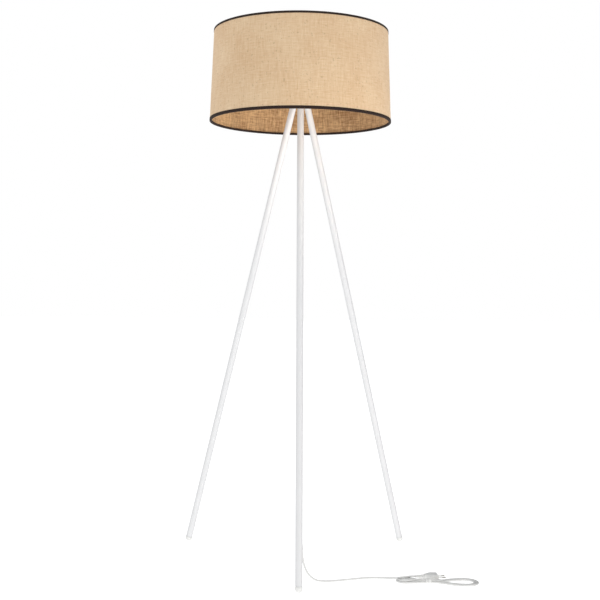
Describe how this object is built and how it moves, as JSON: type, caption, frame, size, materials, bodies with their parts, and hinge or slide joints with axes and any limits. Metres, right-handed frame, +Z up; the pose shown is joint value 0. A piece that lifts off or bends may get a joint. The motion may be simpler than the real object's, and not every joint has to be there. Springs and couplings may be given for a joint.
{
  "type": "tripod floor lamp",
  "caption": "Floor lamp: straight tube legs meeting at a hub, jute drum shade with dark edging, push-bar lampholder, screw-in LED bulb, and a tied mains lead with plug.",
  "frame": {"origin": "on the floor, in the middle of the box around the feet and the shade; the lamp's own vertical axis is 58.6 mm behind it, at +Y", "axes": "+Z up, -Y towards the single front leg, +X to the side that the mains lead lies on"},
  "size_m": [0.7793, 0.6172, 1.45],
  "materials": {
    "powder_coat": "white powder coat, fine orange peel, semi-gloss",
    "white_plastic": "moulded white plastic, satin",
    "zinc_steel": "bright zinc plating",
    "brass": "pressed and turned brass",
    "nickel_plate": "bright nickel plating",
    "black_glass_insulator": "black moulded insulator",
    "circuit_board": "green solder mask",
    "opal_diffuser": "opal polycarbonate, matt",
    "jute": "natural jute plain weave with slubs",
    "shade_film": "clear backing film laminated to the cloth",
    "edge_tape": "woven black edge tape",
    "cord_pvc": "round white PVC sheath, semi-gloss",
    "wire_brown": "brown PVC insulation",
    "wire_blue": "blue PVC insulation"
  },
  "bodies": {
    "stand": {"leg_front": "powder_coat", "leg_right": "powder_coat", "leg_left": "powder_coat", "hub_body": "powder_coat", "hub_cover": "powder_coat", "shade_top_ring": "powder_coat", "shade_spider": "powder_coat", "shade_bottom_ring": "powder_coat", "foot_cap_front": "white_plastic", "foot_cap_right": "white_plastic", "foot_cap_left": "white_plastic", "cord_strain_relief": "white_plastic", "holder_cap": "white_plastic", "holder_shell": "white_plastic", "holder_insert": "white_plastic", "shade_ring_nut": "white_plastic", "cord_tie": "white_plastic", "plug_body": "white_plastic", "leg_set_screw_front": "zinc_steel", "leg_set_screw_right": "zinc_steel", "leg_set_screw_left": "zinc_steel", "cover_screw_1": "zinc_steel", "cover_screw_2": "zinc_steel", "cover_screw_3": "zinc_steel", "threaded_nipple": "zinc_steel", "nipple_nut": "zinc_steel", "nipple_washer": "zinc_steel", "holder_centre_contact": "brass", "holder_screw_shell": "brass", "holder_terminal_live": "brass", "holder_terminal_neutral": "brass", "plug_pin_near": "nickel_plate", "plug_pin_far": "nickel_plate", "shade_jute": "jute", "shade_film": "shade_film", "shade_top_trim": "edge_tape", "shade_bottom_trim": "edge_tape", "cord_inside": "cord_pvc", "cord_free": "cord_pvc", "cord_hank": "cord_pvc", "wire_live": "wire_brown", "wire_neutral": "wire_blue"},
    "switch_bar": {"switch_push_bar": "white_plastic"},
    "bulb_carriage": {"bulb_tip_contact": "brass"},
    "bulb": {"bulb_insulator": "black_glass_insulator", "bulb_screw_cap": "nickel_plate", "bulb_body": "white_plastic", "bulb_driver_board": "circuit_board", "bulb_led_board": "circuit_board", "bulb_globe": "opal_diffuser"}
  },
  "joints": [
    {"name": "switch_push", "type": "slide", "parent": "stand", "child": "switch_bar", "axis": [1, 0, 0], "range_m": [0, 0.005]},
    {"name": "bulb_travel", "type": "slide", "parent": "stand", "child": "bulb_carriage", "axis": [0, 0, 1], "range_m": [0, 0.0185]},
    {"name": "bulb_turn", "type": "hinge", "parent": "bulb_carriage", "child": "bulb", "pos_m": [0, 0.05857, 1.33], "axis": [0, 0, 1], "range_deg": [0, 1800]}
  ],
  "couplings": [
    {"joint": "bulb_travel", "follows": "bulb_turn", "m_per_rad": 0.000576}
  ]
}
